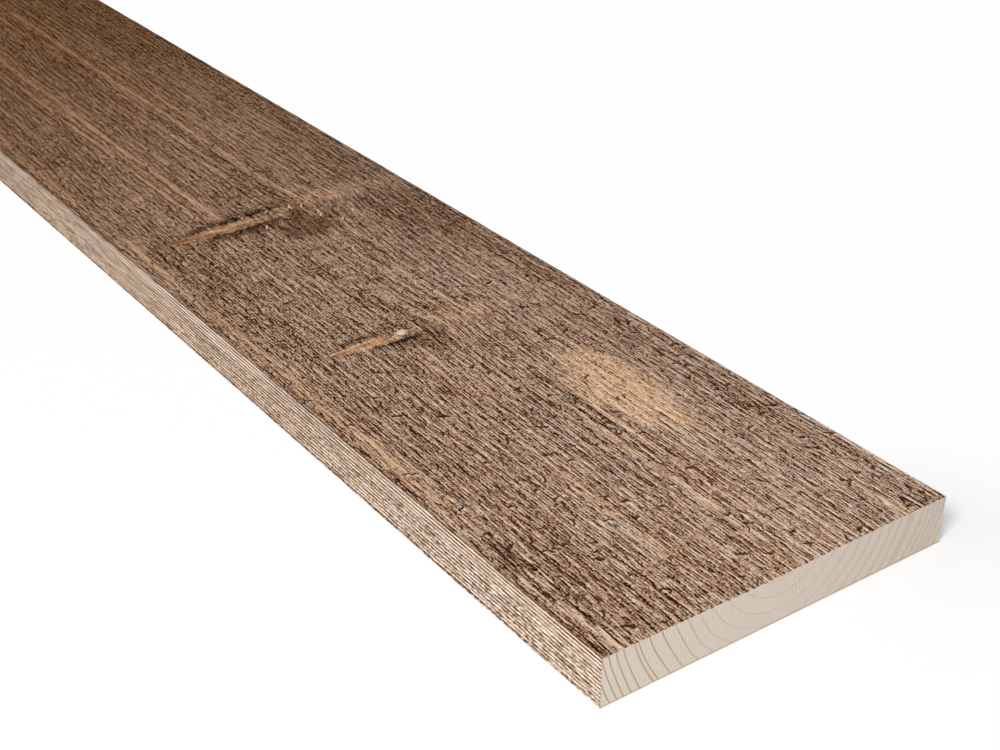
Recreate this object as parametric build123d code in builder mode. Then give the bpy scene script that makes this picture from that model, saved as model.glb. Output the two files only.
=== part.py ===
"""Rectangular cladding board: one sawn piece of spruce for the outside of a wall.

The board lies on its back with the weather face up. X runs along the length, Y across the
width and Z from the back to the face. The origin is under the middle of the board, on its back.
"""

import os

from build123d import *

# Driving dimensions, in millimetres
LENGTH = 2400.0
WIDTH = 148.0
THICKNESS = 19.0
FACE_ARRIS_RADIUS = 0.8
BACK_ARRIS_RADIUS = 0.4

# The sawn board: a rectangular section, its four long arrises eased, carried along the length
with BuildPart() as cladding_board:
    with BuildSketch(Plane.YZ.offset(-LENGTH / 2)) as section:
        with Locations((0, THICKNESS / 2)):
            Rectangle(WIDTH, THICKNESS)
        face_corners = section.vertices().group_by(Axis.Y)[-1]
        fillet(face_corners, FACE_ARRIS_RADIUS)
        back_corners = section.vertices().group_by(Axis.Y)[0]
        fillet(back_corners, BACK_ARRIS_RADIUS)
    extrude(amount=LENGTH)

cladding_board.part.label = "cladding_board"

os.makedirs("parts", exist_ok=True)
export_step(cladding_board.part, "parts/cladding_board.step")
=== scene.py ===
"""A rectangular cladding board of sawn spruce, stained brown, lying on its back."""

import math
from collections import namedtuple

import bmesh
import bpy
from mathutils import Matrix, Vector, noise


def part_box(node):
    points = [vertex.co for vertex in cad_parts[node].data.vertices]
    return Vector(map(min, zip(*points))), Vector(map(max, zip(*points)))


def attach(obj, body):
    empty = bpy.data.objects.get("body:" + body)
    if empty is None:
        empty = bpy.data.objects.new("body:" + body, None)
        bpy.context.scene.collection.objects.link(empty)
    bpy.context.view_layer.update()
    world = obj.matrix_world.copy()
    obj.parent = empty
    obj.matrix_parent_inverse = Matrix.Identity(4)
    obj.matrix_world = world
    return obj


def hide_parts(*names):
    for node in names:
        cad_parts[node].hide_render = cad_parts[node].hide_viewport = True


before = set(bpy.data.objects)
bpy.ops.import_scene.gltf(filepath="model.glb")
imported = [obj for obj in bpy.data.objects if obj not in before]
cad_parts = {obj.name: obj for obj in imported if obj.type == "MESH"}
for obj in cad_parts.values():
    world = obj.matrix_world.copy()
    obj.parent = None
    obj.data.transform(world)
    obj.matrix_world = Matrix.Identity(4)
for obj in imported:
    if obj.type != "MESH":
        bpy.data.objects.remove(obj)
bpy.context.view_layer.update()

# The board: one plank of spruce, sawn lengthwise so that the saw left fine ridges on its face and
# straighter ones on its edges. It was stained brown and then cut to length, so its ends show bare wood.
# Nothing is fixed to it. It is shaped in millimetres and brought to metres at the end.
MM = 0.001
low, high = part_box("cladding_board")
LENGTH, WIDTH, THICKNESS = (high - low) / MM
FRONT = high.x / MM
HALF_WIDTH = WIDTH / 2
FACE_ARRIS = 0.8
BACK_ARRIS = 0.4
ARRIS_STEPS = 2

# The section is a rectangle with rounded corners, divided finely enough for the saw's ridges
FACE_STRIPS = 232
EDGE_RIDGES = 12
BACK_STRIPS = 12
board = bmesh.new()
outline = bmesh.ops.create_grid(board, x_segments=1, y_segments=1, size=0.5)
upright = Matrix.Rotation(math.radians(90), 4, "Z") @ Matrix.Rotation(math.radians(90), 4, "X")
bmesh.ops.transform(board, matrix=upright, verts=outline["verts"])
bmesh.ops.scale(board, vec=(1, WIDTH, THICKNESS), verts=outline["verts"])
bmesh.ops.translate(board, vec=(FRONT - LENGTH, 0, THICKNESS / 2), verts=outline["verts"])
corners = {
    FACE_ARRIS: [corner for corner in board.verts if corner.co.z > THICKNESS / 2],
    BACK_ARRIS: [corner for corner in board.verts if corner.co.z < THICKNESS / 2],
}
for radius, pair in corners.items():
    bmesh.ops.bevel(
        board, geom=pair, offset=radius, offset_type="OFFSET", affect="VERTICES",
        segments=ARRIS_STEPS, profile=0.5, material=-1,
    )
long_sides = [side for side in board.edges if side.calc_length() > THICKNESS / 2]
for side in long_sides:
    middle = (side.verts[0].co + side.verts[1].co) / 2
    if abs(middle.y) > HALF_WIDTH / 2:
        strips = 2 * EDGE_RIDGES
    elif middle.z > THICKNESS / 2:
        strips = FACE_STRIPS
    else:
        strips = BACK_STRIPS
    bmesh.ops.subdivide_edges(board, edges=[side], cuts=strips - 1)
bmesh.ops.delete(board, geom=board.faces[:], context="FACES_ONLY")

# The section is drawn out along the length and cut into rows
ROWS = 320
drawn = bmesh.ops.extrude_edge_only(board, edges=board.edges[:])
far_points = [part for part in drawn["geom"] if isinstance(part, bmesh.types.BMVert)]
bmesh.ops.translate(board, vec=(LENGTH, 0, 0), verts=far_points)
long_lines = [line for line in board.edges if line.calc_length() > LENGTH / 2]
bmesh.ops.subdivide_edges(board, edges=long_lines, cuts=ROWS - 1, use_grid_fill=True)
bmesh.ops.holes_fill(board, edges=board.edges[:], sides=0)
bmesh.ops.recalc_face_normals(board, faces=board.faces[:])

FACE, EDGE, END, BACK = range(4)
for facet in board.faces:
    centre = facet.calc_center_median()
    facet.smooth = len(facet.verts) == 4
    if not facet.smooth:
        facet.material_index = END
    elif centre.z > THICKNESS - FACE_ARRIS / 4:
        facet.material_index = FACE
    elif centre.z < BACK_ARRIS / 4:
        facet.material_index = BACK
    else:
        facet.material_index = EDGE

# Two branches grew sideways out of the tree's middle, and the saw opened each along its length. A knot
# lies across the board from its inner to its outer tip. Back is how far its inner tip is from the front
# end, lean is how much nearer the end its outer tip is, and bow bends it between them. Rough is the share
# of it, from its inner tip, that the saw tore. Rim and crack are the dark lines on its far and near sides,
# painted shade where the face drops beside the knot and, on the near knot's near side, an open crack too,
# given in shares of its length
Knot = namedtuple("Knot", "back lean bow inner outer width rough rim crack")
DarkLine = namedtuple("DarkLine", "start stop strength")
near_knot = Knot(
    back=204, lean=0, bow=1.5, inner=-7, outer=-54, width=8.5, rough=0.25,
    rim=DarkLine(start=0.12, stop=0.80, strength=0.6),
    crack=DarkLine(start=0.05, stop=0.55, strength=0.9),
)
far_knot = Knot(
    back=343, lean=9, bow=0, inner=26, outer=-68, width=11, rough=0.40,
    rim=DarkLine(start=0.12, stop=0.86, strength=1.0),
    crack=DarkLine(start=0.22, stop=0.74, strength=0.9),
)

# The ridges follow the grain, which rises towards the far edge on both sides of a knot. It rises most a
# little past the knot's inner tip, and runs straight again by the board's edges
GRAIN_RISE = 4.5
RISE_REACH = 26
RISE_SPREAD = 31
RISE_PAST_TIP = 6
EDGE_FADE = 6
GRAIN_WANDER = 0.35


def ripple(back, across, length, breadth, seed):
    """Random ripples from -1 to 1, of a length and breadth given in millimetres."""
    return noise.noise((back / length, across / breadth, seed))


def grain_shift(back, across):
    """How far a line of the grain is pushed across the board, at a place on the face."""
    shift = GRAIN_WANDER * ripple(back, across, length=45, breadth=6, seed=3)
    for knot in (near_knot, far_knot):
        along = math.exp(-abs(back - knot.back) / RISE_REACH)
        beside = math.exp(-(((across - knot.inner - RISE_PAST_TIP) / RISE_SPREAD) ** 2))
        shift += GRAIN_RISE * along * beside * (knot.width / far_knot.width)
    margin = 1 - abs(across / HALF_WIDTH)
    return shift * min(1, EDGE_FADE * margin)


# The saw's teeth left rows of short strokes. They come from two sets of ridges that cross at a small
# angle and two that run straight along the board, with a finer pair between them that only colours it,
# as painted light and shade of ridges too fine to shape. Each is given in ridges to the millimetre
Ridges = namedtuple("Ridges", "along across strength")
saw_ridges = (
    Ridges(along=-0.052, across=0.405, strength=0.46),
    Ridges(along=0.052, across=0.395, strength=0.27),
    Ridges(along=0.0, across=0.272, strength=0.42),
    Ridges(along=0.0, across=0.4, strength=0.18),
)
painted_fine_ridges = (
    Ridges(along=-0.052, across=0.806, strength=0.75),
    Ridges(along=0.052, across=0.785, strength=0.60),
)
RIDGE_DEPTH = 0.45
UNEVEN_DEPTH = 0.12
CUP_DEPTH = 0.6
CUP_ACROSS = -12
CUP_REACH = 24


def saw_strokes(back, across, ridge_sets, cosine):
    """The height of the ridges at a place on the face, mostly from -1 to 1."""
    total = 0
    for ridges in ridge_sets:
        turns = back * ridges.along + across * ridges.across
        total = total + cosine(turns * math.tau) * ridges.strength
    return total


def face_cut(back, across):
    """How far a place on the face lies below the flat."""
    strokes = saw_strokes(back, across, saw_ridges, math.cos)
    rough = 0.6 + 0.4 * ripple(back, across, length=4, breadth=1.2, seed=29) - 0.6 * strokes
    uneven = UNEVEN_DEPTH * (1 + ripple(back, across, length=70, breadth=14, seed=47))
    cup = CUP_DEPTH * math.exp(-(((across - CUP_ACROSS) / CUP_REACH) ** 2))
    return RIDGE_DEPTH * max(0, rough) + uneven + cup


# Late wood took up less stain, and shows as tan streaks along the face
Streak = namedtuple("Streak", "across start stop width strength")
streaks = (
    Streak(54, -20, 90, 1.3, 0.6),
    Streak(14.5, -20, 170, 1.6, 0.6),
    Streak(6, -20, 190, 1.2, 0.7),
    Streak(-24, -20, 115, 2.0, 0.6),
    Streak(-67, 70, 370, 2.4, 0.9),
    Streak(2.5, 180, 240, 1.4, 0.7),
    Streak(17.5, 205, 265, 1.3, 0.9),
    Streak(55, 220, 290, 1.8, 0.6),
    Streak(-72, -20, 60, 1.4, 0.6),
    Streak(26, 345, 620, 1.2, 0.8),
    Streak(17.5, 343, 1100, 1.2, 1.5),
    Streak(8, 345, 900, 1.2, 0.7),
    Streak(-21.5, 343, 1000, 1.2, 1.9),
    Streak(-25.8, 343, 560, 0.9, 0.7),
    Streak(-30, 343, 640, 1.0, 1.1),
    Streak(-68, 390, 900, 3.0, 0.6),
    Streak(-40, 800, 2000, 2.5, 0.8),
    Streak(33, 950, 2500, 2.0, 0.9),
    Streak(-8, 1200, 2500, 2.5, 0.8),
    Streak(58, 1100, 2100, 2.0, 0.7),
)

# In softer rows the saw tore the wood instead of cutting it
torn_rows = (
    Streak(11.5, -20, 200, 1.5, 1.0),
    Streak(3, 65, 165, 1.3, 0.9),
    Streak(-1.5, 110, 175, 1.2, 0.8),
    Streak(-18, 95, 165, 1.1, 0.9),
    Streak(-46, -20, 70, 2.5, 0.8),
    Streak(-61, 5, 90, 2.5, 0.8),
    Streak(64, -20, 420, 6.0, 0.3),
    Streak(22, 205, 270, 2.5, 0.9),
    Streak(-58, 190, 340, 6.0, 0.6),
    Streak(-12, 230, 300, 3.0, 0.5),
    Streak(12, 355, 520, 2.2, 1.1),
    Streak(45, 900, 1700, 4.0, 0.7),
    Streak(-20, 1300, 2300, 3.0, 0.8),
    Streak(5, 1900, 2500, 3.0, 0.7),
)


# A streak drifts a little from side to side, and fades in at its start and out at its stop
STREAK_DRIFT = 0.8
WIDTHS_AWAY = 3
FADE_IN = 12
FADE_OUT = 40
STRONGEST = 1.5


def belonging(lines, back, across):
    """How much a place on the face belongs to one of a set of streaks."""
    total = 0
    for streak in lines:
        drift = STREAK_DRIFT * ripple(back, streak.across, length=160, breadth=1, seed=71)
        beside = (across - streak.across - drift) / streak.width
        if abs(beside) < WIDTHS_AWAY:
            fade = min((back - streak.start) / FADE_IN, (streak.stop - back) / FADE_OUT)
            total += streak.strength * math.exp(-beside * beside) * min(1, max(0, fade))
    return min(STRONGEST, total)


# On the edges the saw cut straight grooves, so every second column of points is sunk
EDGE_DEPTH = 0.4
COLUMN_SEED = 5.3


def edge_cut(back, height, column):
    """How far a place on an edge lies inside the flat."""
    groove = column % 2 * (0.8 + 0.4 * ripple(back, column * COLUMN_SEED, length=16, breadth=1, seed=61))
    rough = 0.5 + 0.5 * ripple(back, height, length=4, breadth=1.3, seed=83)
    return EDGE_DEPTH * (groove + 0.4 * rough)


# The rows lie closest together at the front end, and the points of a row are staggered
FRONT_ROWS = 0.29
STAGGER = 0.4
grain = board.verts.layers.float_vector.new("grain")
warmth = board.verts.layers.float.new("warmth")
torn = board.verts.layers.float.new("torn")
face_strip = (WIDTH - 2 * FACE_ARRIS) / FACE_STRIPS
edge_strip = (THICKNESS - FACE_ARRIS - BACK_ARRIS) / (2 * EDGE_RIDGES)
for point in board.verts:
    row = (FRONT - point.co.x) / LENGTH
    back = LENGTH * (FRONT_ROWS * row + (1 - FRONT_ROWS) * row ** 2)
    across = point.co.y
    height = point.co.z
    at_an_end = min(row, 1 - row) < 0.5 / ROWS
    if height > THICKNESS - FACE_ARRIS / 8:
        column = round((across + HALF_WIDTH - FACE_ARRIS) / face_strip)
        if not at_an_end:
            row_gap = LENGTH / ROWS * (FRONT_ROWS + 2 * (1 - FRONT_ROWS) * row)
            back += STAGGER * row_gap * noise.cell((column, 0, 0))
        point.co.y += grain_shift(back, across)
        point.co.z -= face_cut(back, across)
        point[warmth] = belonging(streaks, back, across)
        point[torn] = belonging(torn_rows, back, across)
    elif height > BACK_ARRIS / 8:
        column = round((height - BACK_ARRIS) / edge_strip)
        point.co.y -= math.copysign(edge_cut(back, height, column), across)
    point.co.x = FRONT - back
    point[grain] = (back, across, height)
bmesh.ops.scale(board, vec=(MM, MM, MM), verts=board.verts[:])

# For baking, the board is laid out on a square sheet, cut into lengths that lie one above another
SHEET_SIDE = 840
SHEET_GAP = 4
CUT_LENGTH = 800
SHEET_MARGIN = (SHEET_SIDE - CUT_LENGTH) / 2
flat_layout = board.loops.layers.uv.new("OFBake")
sides = {FACE: [], BACK: [], "near edge": [], "far edge": [], END: []}
for facet in board.faces:
    side = facet.material_index
    if side == EDGE:
        side = "near edge" if facet.calc_center_median().y < 0 else "far edge"
    sides[side].append(facet)


def girth(across, height):
    """How far round the section a place on an edge lies from the back."""
    turned = HALF_WIDTH - abs(across)
    return BACK_ARRIS + height + math.copysign(turned, height - THICKNESS / 2)


bottom = SHEET_GAP
for side, cuts in ((FACE, 3), ("near edge", 3), ("far edge", 3), (BACK, 2)):
    stretch = cuts * CUT_LENGTH / LENGTH
    breadth = WIDTH if side in (FACE, BACK) else THICKNESS + FACE_ARRIS + BACK_ARRIS
    for facet in sides[side]:
        middle = sum(corner.vert[grain].x for corner in facet.loops) / len(facet.loops)
        cut = min(cuts - 1, int(middle * cuts / LENGTH))
        for corner in facet.loops:
            back, across, height = corner.vert[grain]
            sideways = across + HALF_WIDTH if side in (FACE, BACK) else girth(across, height)
            u = SHEET_MARGIN + back * stretch - cut * CUT_LENGTH
            v = bottom + cut * (breadth * stretch + SHEET_GAP) + sideways * stretch
            corner[flat_layout].uv = (u / SHEET_SIDE, v / SHEET_SIDE)
    bottom += cuts * (breadth * stretch + SHEET_GAP)
for order, facet in enumerate(sides[END]):
    for corner in facet.loops:
        _, across, height = corner.vert[grain]
        u = SHEET_MARGIN + HALF_WIDTH + across + order * (WIDTH + SHEET_GAP)
        corner[flat_layout].uv = (u / SHEET_SIDE, (bottom + height) / SHEET_SIDE)

mesh = bpy.data.meshes.new("board")
board.to_mesh(mesh)
board.free()
piece = bpy.data.objects.new("board", mesh)
bpy.context.scene.collection.objects.link(piece)


# The stained face: the ridges are grey brown with tan crests, stain has gathered in the grooves, and
# the saw tore short black nicks out of the softer wood. The tan crests are partly painted highlight, and
# the dark of the grooves and nicks is partly painted shade. Places on it are in millimetres, back from
# the front end and across from the middle
class Shade:
    """A socket in a material's node tree. Sums written with it add their own Math nodes."""

    def __init__(self, tree, socket=None):
        self.tree = tree
        self.socket = socket

    def node(self, kind, settings, inputs, output=0):
        """Adds a node, makes its settings, then sets or links its inputs."""
        made = self.tree.nodes.new(kind)
        for name, value in settings.items():
            setattr(made, name, value)
        for name, value in inputs.items():
            if isinstance(value, Shade):
                self.tree.links.new(value.socket, made.inputs[name])
            else:
                made.inputs[name].default_value = value
        return Shade(self.tree, made.outputs[output] if made.outputs else None)

    def also(self, output):
        """Another output of the same node."""
        return Shade(self.tree, self.socket.node.outputs[output])

    def math(self, operation, *values):
        return self.node("ShaderNodeMath", {"operation": operation}, dict(enumerate(values)))

    def __add__(self, other):
        return self.math("ADD", self, other)

    def __radd__(self, other):
        return self.math("ADD", other, self)

    def __sub__(self, other):
        return self.math("SUBTRACT", self, other)

    def __rsub__(self, other):
        return self.math("SUBTRACT", other, self)

    def __mul__(self, other):
        return self.math("MULTIPLY", self, other)

    def __rmul__(self, other):
        return self.math("MULTIPLY", other, self)

    def __truediv__(self, other):
        return self.math("DIVIDE", self, other)

    def __pow__(self, other):
        return self.math("POWER", self, other)

    def __gt__(self, other):
        return self.math("GREATER_THAN", self, other)

    def cos(self):
        return self.math("COSINE", self)

    def __abs__(self):
        return self.math("ABSOLUTE", self)


def between(value, start, end):
    """0 before start and 1 past end, with a smooth change between them."""
    limits = {"Value": value, "From Min": start, "From Max": end}
    return value.node("ShaderNodeMapRange", {"interpolation_type": "SMOOTHSTEP"}, limits)


def over(below, above, mask):
    """One colour over another, where the mask is 1."""
    return mask.node("ShaderNodeMix", {"data_type": "RGBA"}, {0: mask, 6: below, 7: above}, 2)


def tinted(colour, tint, mask):
    """A colour multiplied by a tint, where the mask is 1."""
    settings = {"data_type": "RGBA", "blend_type": "MULTIPLY"}
    return mask.node("ShaderNodeMix", settings, {0: mask, 6: colour, 7: tint}, 2)


def shaded(tone, colours):
    """A run of colours, from the darkest at a tone of -3 to the palest at 3."""
    run = tone.node("ShaderNodeValToRGB", {}, {"Fac": tone / 6 + 0.5})
    stops = run.socket.node.color_ramp.elements
    for step in range(1, len(colours) - 1):
        stops.new(step / (len(colours) - 1))
    for stop, colour in zip(stops, colours):
        stop.color = colour
    return run


def spread_out(place, size, seed):
    """A place measured in marks of a size given in millimetres."""
    inputs = {0: place, 1: tuple(1 / length for length in size), 2: (seed, seed, seed)}
    return place.node("ShaderNodeVectorMath", {"operation": "MULTIPLY_ADD"}, inputs)


# Marks as large as this don't change that way
EVEN = 100
MARK_CONTRAST = 9


def marks(place, size, detail, seed):
    """Cloudy marks of a size given in millimetres, mostly from -2 to 2."""
    inputs = {"Vector": spread_out(place, size, seed), "Scale": 1.0, "Detail": detail, "Roughness": 0.55}
    cloud = place.node("ShaderNodeTexNoise", {}, inputs)
    return (cloud - 0.5) * MARK_CONTRAST


def parts(place):
    """The three numbers of a place."""
    first = place.node("ShaderNodeSeparateXYZ", {}, {0: place})
    return first, first.also(1), first.also(2)


def new_finish(name):
    """An empty material, with the place on the board in millimetres."""
    material = bpy.data.materials.new(name)
    material.use_nodes = True
    material.node_tree.nodes.clear()
    metres = Shade(material.node_tree).node("ShaderNodeTexCoord", {}, {}, "Object")
    place = metres.node("ShaderNodeVectorMath", {"operation": "SCALE"}, {0: metres, "Scale": 1 / MM})
    return material, place


def read(place, name, output):
    """A value that each point of the board carries."""
    return place.node("ShaderNodeAttribute", {"attribute_name": name}, {}, output)


def finish_with(place, colour, roughness, height):
    """Ends a material in its shader, with a height in millimetres as its bump."""
    normal = place.node("ShaderNodeBump", {}, {"Height": height, "Distance": MM, "Strength": 1.0})
    inputs = {"Base Color": colour, "Roughness": roughness, "Normal": normal, "Specular IOR Level": 0.0}
    shader = place.node("ShaderNodeBsdfPrincipled", {}, inputs)
    place.node("ShaderNodeOutputMaterial", {}, {"Surface": shader})


Spot = namedtuple("Spot", "back across length breadth strength")


def on_spot(back, across, spot):
    """A spot's strength at its centre, fading to nothing at its length and breadth from there."""
    off_back = (back - spot.back) / spot.length
    off_across = (across - spot.across) / spot.breadth
    return between(off_back * off_back + off_across * off_across, 1.0, 0.1) * spot.strength


def on_spots(back, across, spots):
    """The strengths of several spots together."""
    total = 0
    for spot in spots:
        total = total + on_spot(back, across, spot)
    return total


def torn_hooks(line, spacing, density, seed):
    """Hooked tears, at most one to each patch of a spacing, and the fibres lifted beside them, pale partly
    with painted highlight.
    """
    spread = spread_out(line, (*spacing, EVEN), seed)
    inputs = {"Vector": spread, "Scale": 1.0}
    patch = line.node("ShaderNodeTexVoronoi", {"voronoi_dimensions": "2D"}, inputs, "Position")
    chance, turn, size = parts(patch.also("Color"))
    offset = line.node("ShaderNodeVectorMath", {"operation": "SUBTRACT"}, {0: spread, 1: patch})
    along, sideways, _ = parts(offset)

    # Each tear has its own size and turns one way or the other, along a ragged line
    size = size * 0.9 + 0.6
    along = along * spacing[0] / size
    sideways = sideways * spacing[1] / size * ((turn > 0.2) * 2 - 1)
    ragged = marks(line, (2.5, 1.5, EVEN), 1.0, seed)
    sideways = sideways + ragged * 0.2
    along = along - sideways * 0.4 + ragged * 0.25

    # It runs straight and then round a bend, and the largest tears are straight throughout
    bend = 1.3
    curl = along.math("MINIMUM", along, 0.0)
    rise = sideways.math("MAXIMUM", sideways + bend, 0.0)
    off = (curl * curl + rise * rise) ** 0.5 - bend
    straight = size > 1.2
    off = off + ((along + sideways) * 0.7 - off) * straight

    # It thins out towards its ends
    taper = 1 - between(along, 2.6, 0.2) * between(sideways, -3.0, -0.8) * between(sideways, 2.2, 1.0)
    chosen = density > chance
    tear = between(abs(off) + taper * 0.6, 0.6, 0.22) * chosen
    lifted = between(abs(off + 0.7) + taper * 0.6, 0.5, 0.15) * chosen
    return tear, lifted


# The darkest tones are partly painted shade in the grooves, and the palest partly painted highlight on the
# crests
FACE_TONES = (
    (0.019, 0.008, 0.003, 1),
    (0.088, 0.034, 0.013, 1),
    (0.200, 0.103, 0.058, 1),
    (0.324, 0.204, 0.141, 1),
    (0.441, 0.302, 0.228, 1),
    (0.529, 0.395, 0.311, 1),
    (0.603, 0.481, 0.389, 1),
)
WARM_TINT = (1.15, 1.03, 0.86, 1)
PATCH_TINT = (1.16, 1.05, 0.89, 1)
SIDE_TINT = (0.80, 0.76, 0.72, 1)
KNOT_CRACK = (0.018, 0.010, 0.006, 1)
NICK_BLACK_AND_SHADE = (0.036, 0.015, 0.005, 1)
SPLINTER_CREAM = (0.82, 0.65, 0.43, 1)
DEEP_STAIN_AND_FALLOFF = (0.64, 0.49, 0.33, 1)
WARM_STAIN_AND_FALLOFF = (1.0, 0.98, 0.95, 1)
KNOT_TONES = (
    (0.12, 0.050, 0.022, 1),
    (0.27, 0.125, 0.058, 1),
    (0.45, 0.236, 0.120, 1),
    (0.60, 0.355, 0.200, 1),
    (0.73, 0.520, 0.340, 1),
)
KNOT_STEP_SHADE = (0.08, 0.055, 0.04, 1)
KNOT_HALO = (0.53, 0.46, 0.40, 1)

# One place took up little stain, and the face is a little paler about its front end, partly painted
# light from the lamp over it
pale_patch = Spot(122, 31, 46, 19, 1.0)
pale_lit_front = Spot(60, 42, 160, 62, 0.35)

# The face is darker in some places, and paler where the strength is below nothing
darker_and_paler_places = (
    Spot(25, 36, 40, 12, -0.3),
    Spot(70, 0, 26, 9, 0.6),
    Spot(95, 52, 44, 13, 0.45),
    Spot(100, -20, 28, 9, -0.45),
    Spot(100, -50, 140, 10, 0.35),
    Spot(105, -70, 38, 6, 0.45),
    Spot(130, 9, 32, 9, 0.45),
    Spot(162, 54, 28, 16, 0.4),
    Spot(188, -22, 16, 9, 0.5),
    Spot(222, -9, 26, 11, 0.7),
    Spot(222, 50, 36, 22, -0.55),
    Spot(220, -60, 26, 11, -0.45),
    Spot(251, -20, 28, 11, -0.5),
    Spot(281, -54, 28, 13, 0.45),
    Spot(303, 54, 44, 24, 0.65),
    Spot(312, -45, 26, 14, 0.5),
    Spot(322, -70, 50, 7, -0.6),
    Spot(368, 10, 42, 9, 0.8),
    Spot(368, -10, 26, 9, 0.45),
    Spot(385, -45, 38, 13, -0.5),
    Spot(438, 35, 46, 14, -0.6),
    Spot(500, 53, 80, 16, -0.6),
    Spot(592, 10, 46, 9, 0.7),
)

# The wood is pale beyond the inner tip of each knot. It is darker beside them, in wide halos with
# uneven outlines, and painted shadows lie in small close spots. The near knot has cracked open, and a chip
# of it shows bare
pale_tips = (Spot(207, 13, 10, 24, 0.7), Spot(346, 26, 9, 12, 1.0))
wide_halos = (Spot(197, -7, 13, 18, 0.8), Spot(321, 9, 20, 16, 1.2), Spot(329.5, -18, 7, 24, 1.2))
painted_knot_shadows = (Spot(343, 4, 7, 22, 0.4), Spot(207, -48, 6, 8, 0.5), Spot(336, -54, 6, 9, 0.5))
open_crack = Spot(200.3, -13.5, 2.6, 7, 0.9)
bare_chip = Spot(206.3, -12, 2.2, 4.0, 1.0)

# Beyond the far knot the grain meets the far edge in a pale seam
SEAM_BACK = 345
SEAM_REACH = 11

# Loose splinters lie about the knots, all slanting one way
FLECK_LENGTH = 2.5
FLECK_BREADTH = 0.6
FLECK_SLANT = 0.6
fleck_places = (
    (327, 19.5), (323, 34.3), (331, 20.5), (317, 25.5), (329, -7.5),
    (341, 17), (344, 12), (287, 13), (241, 16.5),
)
flecks = [Spot(*place, FLECK_LENGTH, FLECK_BREADTH, 1.0) for place in fleck_places]


def line_reach(along, line):
    """How dark a line is at a share of a knot's length."""
    rising = between(along, line.start, line.start + 0.15)
    falling = between(along, line.stop, line.stop - 0.2)
    return rising * falling * line.strength


def knot_marks(place, knot):
    """A knot's body, the dark lines of painted shade on its far and near sides, and how far along it a
    place lies.
    """
    x, across, _ = parts(place)
    back = FRONT - x
    along = (across - knot.inner) / (knot.outer - knot.inner)

    # It swells from nothing at its tips to its width between them, and is slimmer towards the outer one
    taper = along.math("MAXIMUM", along, 0.0) ** 0.8
    swell = taper * (1 - taper) * 4
    swell = swell.math("MAXIMUM", swell, 0.0001)
    middle = knot.back - along * knot.lean + swell * knot.bow
    ragged = marks(place, (1.6, 2.4, EVEN), 1.0, 17.3) * 0.11
    half_width = swell ** 0.75 * (1.2 - along * 0.6) * (knot.width / 2)
    off = (back - middle) / half_width + ragged
    within = between(swell, 0.0, 0.12)
    body = between(abs(off), 1.15, 0.7) * within
    rim = between(off, 0.7, 1.05) * between(off, 3.0, 1.1) * line_reach(along, knot.rim)
    crack = between(off, -0.7, -1.05) * between(off, -2.6, -1.1) * line_reach(along, knot.crack)
    return body, rim * within, crack * within, along


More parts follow.
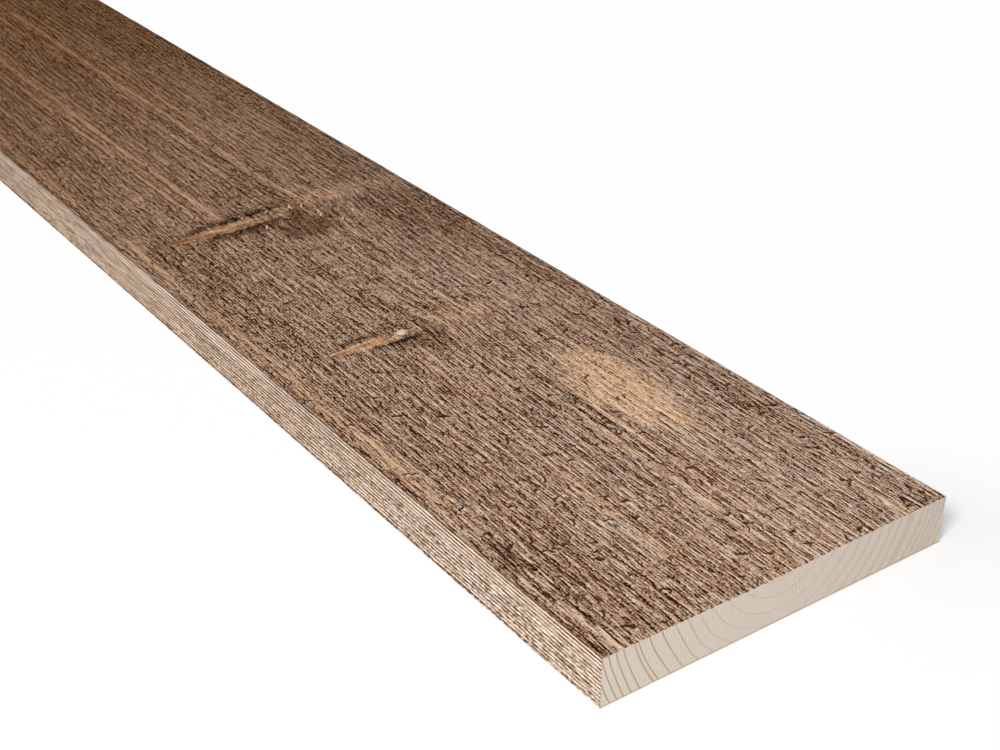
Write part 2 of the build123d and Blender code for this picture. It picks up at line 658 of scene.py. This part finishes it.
def stained_face():
    material, place = new_finish("stained_face")
    line = read(place, "grain", "Vector")
    back, across, _ = parts(line)

    # Fibres of several lengths and the strokes of the saw, bolder along the near edge by the front end.
    # The strokes are partly painted light and shade of the saw's ridges
    fine = marks(line, (0.7, 0.5, EVEN), 0.0, 1.3)
    thread = marks(line, (3.5, 0.5, EVEN), 0.0, 3.3)
    fibre = marks(line, (10, 0.5, EVEN), 0.0, 5.3)
    thin_line = marks(line, (40, 0.6, EVEN), 0.0, 9.3)
    band = marks(line, (60, 3, EVEN), 0.0, 12.3)
    wobble = marks(line, (12, 4, EVEN), 0.0, 43.3) * 0.08
    strokes = saw_strokes(back, across + wobble, saw_ridges + painted_fine_ridges, Shade.cos)
    bold = marks(line, (24, 2.4, EVEN), 1.0, 37.3) * between(across, -58, -67) * between(back, 110, 50)
    crisp = 0.82 + between(back, 100, 260) * 0.38
    tone = fine * crisp + thread * 0.55 + fibre * 0.44 + thin_line * 0.46 + band * 0.08
    tone = tone + strokes * 1.2 + bold * 1.2

    # Where the stain is thinner or deeper, and where the face is darker or paler
    streak = read(place, "warmth", "Fac") * (0.7 + between(thin_line + fibre * 0.6, -1.6, 0.8) * 0.6)
    clump = marks(line, (16, 6, EVEN), 1.0, 15.3)
    patch = on_spot(back + clump * 4, across + clump * 1.5 + thin_line * 1.6, pale_patch)
    seam = between(abs(back - SEAM_BACK), SEAM_REACH, 2) * between(across, 20, 32)
    tips = on_spots(back, across, pale_tips)
    torn_row = read(place, "torn", "Fac")
    tone = tone * (1 - patch * 0.12 - streak * 0.25)
    tone = tone + patch * (1.5 + fine * 0.25 - thin_line * 0.2) + streak * 1.3
    # The paler front end is partly painted light from the lamp over it
    tone = tone + on_spot(back, across, pale_lit_front) + seam + tips * 0.8 - torn_row * 0.35
    tone = tone - on_spots(back, across, darker_and_paler_places)
    colour = shaded(tone, FACE_TONES)
    glow = marks(line, (90, 1.3, EVEN), 0.0, 14.3)
    warm = between(glow, -0.2, 1.6) * 0.5 + streak * 0.6 + tips * 0.6 + between(bold, 0.2, 1.5) * 0.5
    colour = tinted(colour, WARM_TINT, warm)
    colour = tinted(colour, PATCH_TINT, patch)
    outer = between(across, 25, 75) * between(back, 0, 300) * 0.7 + between(across, -25, -75) * 0.5
    colour = tinted(colour, SIDE_TINT, outer)

    # Tears, whose black is partly painted shade in the hollows, the lips of fibre beside them, pale partly
    # with painted highlight, and slivers lifted by the near corner
    density = (0.08 + between(back, 260, 60) * 0.06 + torn_row * 0.2) * (1 - patch * 0.8)
    tear, lifted = torn_hooks(line, (9, 6.2), density * 1.05, 31.3)
    specks, speck_lips = torn_hooks(line, (4, 2.6), density * 0.85, 57.3)
    rip = between(marks(line, (5, 0.6, EVEN), 0.0, 21.3) + torn_row * 1.2, 2.3, 2.9)
    tear = tear.math("MAXIMUM", tear.math("MAXIMUM", tear, rip), specks)
    colour = over(colour, SPLINTER_CREAM, (lifted + speck_lips) * 0.35)
    colour = over(colour, NICK_BLACK_AND_SHADE, tear * 0.93)
    near_corner = between(across, -57, -64) * between(back, 110, 50)
    sliver = between(marks(line, (11, 1.0, EVEN), 0.0, 27.3), 1.5, 2.1) * near_corner
    colour = over(colour, SPLINTER_CREAM, sliver * 0.6)
    splinter = between(marks(line, (2.2, 0.4, EVEN), 0.0, 33.3), 2.9, 3.4)
    colour = over(colour, SPLINTER_CREAM, splinter * 0.6)
    height = fine * 0.03 + thread * 0.04 - tear * 0.4 + lifted * 0.15

    # The knots, which the ridges don't push aside
    x, true_across, _ = parts(place)
    true_back = FRONT - x
    # Darker halos about the knots, and small spots of painted shadow close beside them
    halo = on_spots(true_back + clump * 3, true_across + clump * 3, wide_halos)
    halo = halo + on_spots(true_back, true_across, painted_knot_shadows)
    colour = tinted(colour, KNOT_HALO, halo)
    growth = marks(place, (0.9, 12, EVEN), 1.0, 51.3)
    dots = marks(place, (2.2, 3.5, EVEN), 1.0, 62.3)
    for knot in (near_knot, far_knot):
        body, rim, crack, along = knot_marks(place, knot)
        smooth = between(along + dots * 0.03, knot.rough - 0.1, knot.rough + 0.1)
        heart = shaded(growth * 1.6 + fine * 0.5 + thread * 0.3 + 0.1, KNOT_TONES)
        colour = over(colour, heart, body * (0.1 + 0.72 * smooth * between(along, 0.99, 0.72)))
        hatched = between(marks(place, (1.4, 1.8, EVEN), 0.0, 76.3), 0.8, 2.0) * body * (1 - smooth)
        colour = over(colour, SPLINTER_CREAM, hatched * 0.5)
        # Painted shade on the far and near sides of the knot
        colour = tinted(colour, KNOT_STEP_SHADE, (rim + crack) * between(dots, -2.2, 0.8))
        height = height * (1 - body * smooth * 0.6) + growth * body * 0.05 - (rim + crack) * 0.4
    gap = on_spot(true_back + dots * 0.6, true_across + growth, open_crack)
    colour = over(colour, KNOT_CRACK, gap)
    chip = on_spot(true_back + dots * 0.7, true_across + growth * 0.8, bare_chip)
    for fleck in flecks:
        slant = true_across - (true_back - fleck.back) * FLECK_SLANT
        chip = chip + on_spot(true_back, slant, fleck)
    colour = over(colour, SPLINTER_CREAM, chip)

    # The face is browner and darker towards the far end, partly a deeper stain and partly painted shade
    # for the lamp's light falling off along the board
    colour = tinted(colour, WARM_STAIN_AND_FALLOFF, between(back, 60, 240))
    colour = tinted(colour, DEEP_STAIN_AND_FALLOFF, between(back, 80, 800) - between(back, 900, 1700) * 0.55)
    finish_with(place, colour, 0.8, height)
    return material


# The edges: sawn and stained with the face but paler, the paleness partly painted light from the lamps
# that face them, with straight pinkish ridges between thin dark lines of stain and painted shade in the
# grooves, sharpest along the top and speckled below
EDGE_TONES_AND_LIGHT = (
    (0.065, 0.035, 0.017, 1),
    (0.128, 0.073, 0.040, 1),
    (0.257, 0.174, 0.117, 1),
    (0.424, 0.318, 0.243, 1),
    (0.584, 0.463, 0.376, 1),
    (0.710, 0.590, 0.489, 1),
    (0.795, 0.680, 0.585, 1),
)
EDGE_BROWN = (0.95, 0.91, 0.86, 1)


def grooved_edge():
    material, place = new_finish("grooved_edge")
    line = read(place, "grain", "Vector")
    fibre = marks(line, (12, EVEN, 0.6), 1.0, 2.0)
    dots = marks(line, (2.0, EVEN, 0.5), 1.0, 7.0)
    band = marks(line, (120, EVEN, 3), 1.0, 4.0)
    back, _, height = parts(line)
    # Pale ridges and dark grooves, partly painted light and shade
    ridge = ((height - BACK_ARRIS) * (math.pi / edge_strip)).cos()
    lower = between(height, 15, 11)
    speckled = (lower * 0.6 + 0.5) * (0.7 + between(back, 220, 60) * 0.3)
    arris = between(height, THICKNESS - 1.3, THICKNESS - 0.5)
    crest = between(height, 14.5, 16.5)
    worn = between(back, 280, 420) * 0.45
    pits = between(marks(line, (1.8, EVEN, 0.9), 0.0, 11.0), 1.2, 2.4) * lower * between(back, 330, 200)
    foot = between(height, 1.4, 0.5)
    tone = ridge * (1.6 + crest * 0.8) * (1 - worn) + fibre * 0.55 + dots * speckled + band * 0.2
    tone = tone + between(back, 150, 350) * 0.25 - 0.25 + crest * 0.3
    tone = tone - arris * 1.8 - pits * 0.6 - foot * 0.9
    colour = tinted(shaded(tone, EDGE_TONES_AND_LIGHT), EDGE_BROWN, lower * between(back, 80, 300))
    finish_with(place, colour, 0.8, fibre * 0.05 + dots * 0.04)
    return material


# The cut ends: bare wood, cut after the stain was on, with the rings of the tree's growth round its
# middle, which lies above the face
PITH_ACROSS = -1.5
PITH_HEIGHT = 33.0
RING_RADII = (16, 21.6, 27.5, 33, 38, 42.5, 46.9, 51.6, 56, 60.1, 61.6, 65.8, 68.6, 71.2, 73.5, 76, 79)
BARE_WOOD = (0.643, 0.562, 0.485, 1)
RING_BROWN = (0.33, 0.19, 0.10, 1)
SAWN_GREY = (0.80, 0.78, 0.76, 1)
END_RIM = (0.50, 0.33, 0.17, 1)


def ring_lines(place, soft):
    """1 on the dark line that ends each year's growth, and 0 in the pale wood between."""
    _, across, height = parts(place)
    wander = marks(place, (150, 30, 30), 1.0, 41.0)
    sideways = across - PITH_ACROSS
    upward = height - PITH_HEIGHT
    radius = (sideways * sideways + upward * upward) ** 0.5 + wander * 0.4
    lines = 0
    for ring in RING_RADII:
        lines = lines + between(radius, ring - soft, ring) * between(radius, ring + 0.25, ring)
    return lines


def cut_end():
    material, place = new_finish("cut_end")
    _, across, height = parts(place)
    saw = marks(place, (EVEN, 0.7, 5), 2.0, 3.0)
    pores = marks(place, (0.6, 0.6, 0.6), 2.0, 8.0)
    strength = 0.25 + 0.55 * between(across, -25, -55)
    colour = over(BARE_WOOD, RING_BROWN, ring_lines(place, 0.55) * strength)
    late_wood = ring_lines(place, 2.4) * between(across, 10, 40)
    colour = tinted(colour, SAWN_GREY, between(saw * 0.4 + pores * 0.6, 0.0, 3.0) + late_wood * 0.4)
    rim = between(height, 0.9, 0.3) + between(height, THICKNESS - 0.9, THICKNESS - 0.4) * 0.4
    colour = over(colour, END_RIM, rim * 0.7)
    finish_with(place, colour, 0.85, saw * 0.02 + pores * 0.02)
    return material


# The back: the side that goes against the wall, sawn smoother than the face, with the same stain and
# the rings drawn out along it
BACK_BROWN = (0.36, 0.245, 0.165, 1)
BACK_LINE = (0.20, 0.125, 0.075, 1)


def sawn_back():
    material, place = new_finish("sawn_back")
    fibre = marks(place, (30, 0.8, EVEN), 3.0, 6.0)
    band = marks(place, (300, 10, EVEN), 3.0, 8.0)
    colour = over(BACK_BROWN, BACK_LINE, ring_lines(place, 2.5) * 0.6)
    colour = over(colour, BACK_LINE, between(fibre + band, 0.0, 3.0) * 0.7)
    finish_with(place, colour, 0.8, fibre * 0.05)
    return material


for finish in (stained_face, grooved_edge, cut_end, sawn_back):
    mesh.materials.append(finish())
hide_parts("cladding_board")
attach(piece, "root")

# The floor: a plain white studio table, which the camera sees as white, with a faint shadow by the far
# corner of the front end
FLOOR_SIDE = 12.0
FLOOR_DROP = 0.2 * MM
ground = bmesh.new()
bmesh.ops.create_grid(ground, x_segments=1, y_segments=1, size=FLOOR_SIDE / 2)
bmesh.ops.translate(ground, vec=(0, 0, -FLOOR_DROP), verts=ground.verts[:])
ground_mesh = bpy.data.meshes.new("floor")
ground.to_mesh(ground_mesh)
ground.free()
floor = bpy.data.objects.new("floor", ground_mesh)
bpy.context.scene.collection.objects.link(floor)
WHITE = (1, 1, 1, 1)
FLOOR_WHITE = (0.9, 0.9, 0.9, 1)
FLOOR_GLOW = 0.97
SHADOW_SHARE = 0.6
SHADOW_REACH = 0.085


def white_floor():
    material = bpy.data.materials.new("white_floor")
    material.use_nodes = True
    material.node_tree.nodes.clear()
    start = Shade(material.node_tree)
    ray = start.node("ShaderNodeLightPath", {}, {}, "Is Camera Ray")
    seen = ray + ray.also("Is Glossy Ray") + ray.also("Is Transmission Ray")
    spot_on_floor = start.node("ShaderNodeTexCoord", {}, {}, "Object")
    inputs = {0: spot_on_floor, 1: (high.x, high.y, 0)}
    away = start.node("ShaderNodeVectorMath", {"operation": "DISTANCE"}, inputs, "Value")
    share = FLOOR_GLOW - SHADOW_SHARE * between(away, SHADOW_REACH, 0.0)
    matt = start.node("ShaderNodeBsdfDiffuse", {}, {"Color": FLOOR_WHITE})
    glow = start.node("ShaderNodeEmission", {}, {"Color": WHITE, "Strength": 1.0})
    surface = start.node("ShaderNodeMixShader", {}, {0: seen * share, 1: matt, 2: glow})
    start.node("ShaderNodeOutputMaterial", {}, {"Surface": surface})
    return material


ground_mesh.materials.append(white_floor())

# The light: an even white room, a soft lamp over the front end, a weaker one along the near edge and
# one behind the far end
ROOM_LEVEL = 0.32
world = bpy.data.worlds.new("room")
world.use_nodes = True
world.node_tree.nodes.clear()
bpy.context.scene.world = world
start = Shade(world.node_tree)
ray = start.node("ShaderNodeLightPath", {}, {}, "Is Camera Ray")
seen = ray + ray.also("Is Glossy Ray") + ray.also("Is Transmission Ray")
room = start.node("ShaderNodeBackground", {}, {"Color": WHITE, "Strength": ROOM_LEVEL})
backdrop = start.node("ShaderNodeBackground", {}, {"Color": WHITE, "Strength": 1.0})
sky = start.node("ShaderNodeMixShader", {}, {0: seen, 1: room, 2: backdrop})
start.node("ShaderNodeOutputWorld", {}, {"Surface": sky})


def soft_lamp(name, place, target, size, power):
    data = bpy.data.lights.new(name, "AREA")
    data.shape = "SQUARE"
    data.size = size
    data.energy = power
    lamp = bpy.data.objects.new(name, data)
    lamp.location = place
    lamp.rotation_euler = (Vector(target) - Vector(place)).to_track_quat("-Z", "Y").to_euler()
    bpy.context.scene.collection.objects.link(lamp)


soft_lamp("front_lamp", place=(1.55, -0.75, 0.8), target=(1.1, 0, 0), size=0.3, power=14)
soft_lamp("edge_lamp", place=(0.7, -1.6, 0.6), target=(0.7, 0, 0), size=1.2, power=5)
soft_lamp("rear_lamp", place=(-2.0, 1.2, 0.8), target=(-1.0, 0, 0), size=0.8, power=16)

# The camera: in front of the cut end and to its near side, looking down along the board
CAMERA_FROM_END = Vector((282.7, -309.9, 319.6)) * MM
CAMERA_HEADING = math.radians(144.73)
CAMERA_DIP = math.radians(29.34)
CAMERA_LENS = 58.03
view = bpy.data.cameras.new("camera")
view.lens = CAMERA_LENS
view.sensor_width = 36
view.clip_start = 0.01
camera = bpy.data.objects.new("camera", view)
camera.location = Vector((high.x, 0, 0)) + CAMERA_FROM_END
looking = Vector((
    math.cos(CAMERA_DIP) * math.cos(CAMERA_HEADING),
    math.cos(CAMERA_DIP) * math.sin(CAMERA_HEADING),
    -math.sin(CAMERA_DIP),
))
camera.rotation_euler = looking.to_track_quat("-Z", "Y").to_euler()
bpy.context.scene.collection.objects.link(camera)
bpy.context.scene.camera = camera
bpy.context.scene.view_settings.view_transform = "Standard"
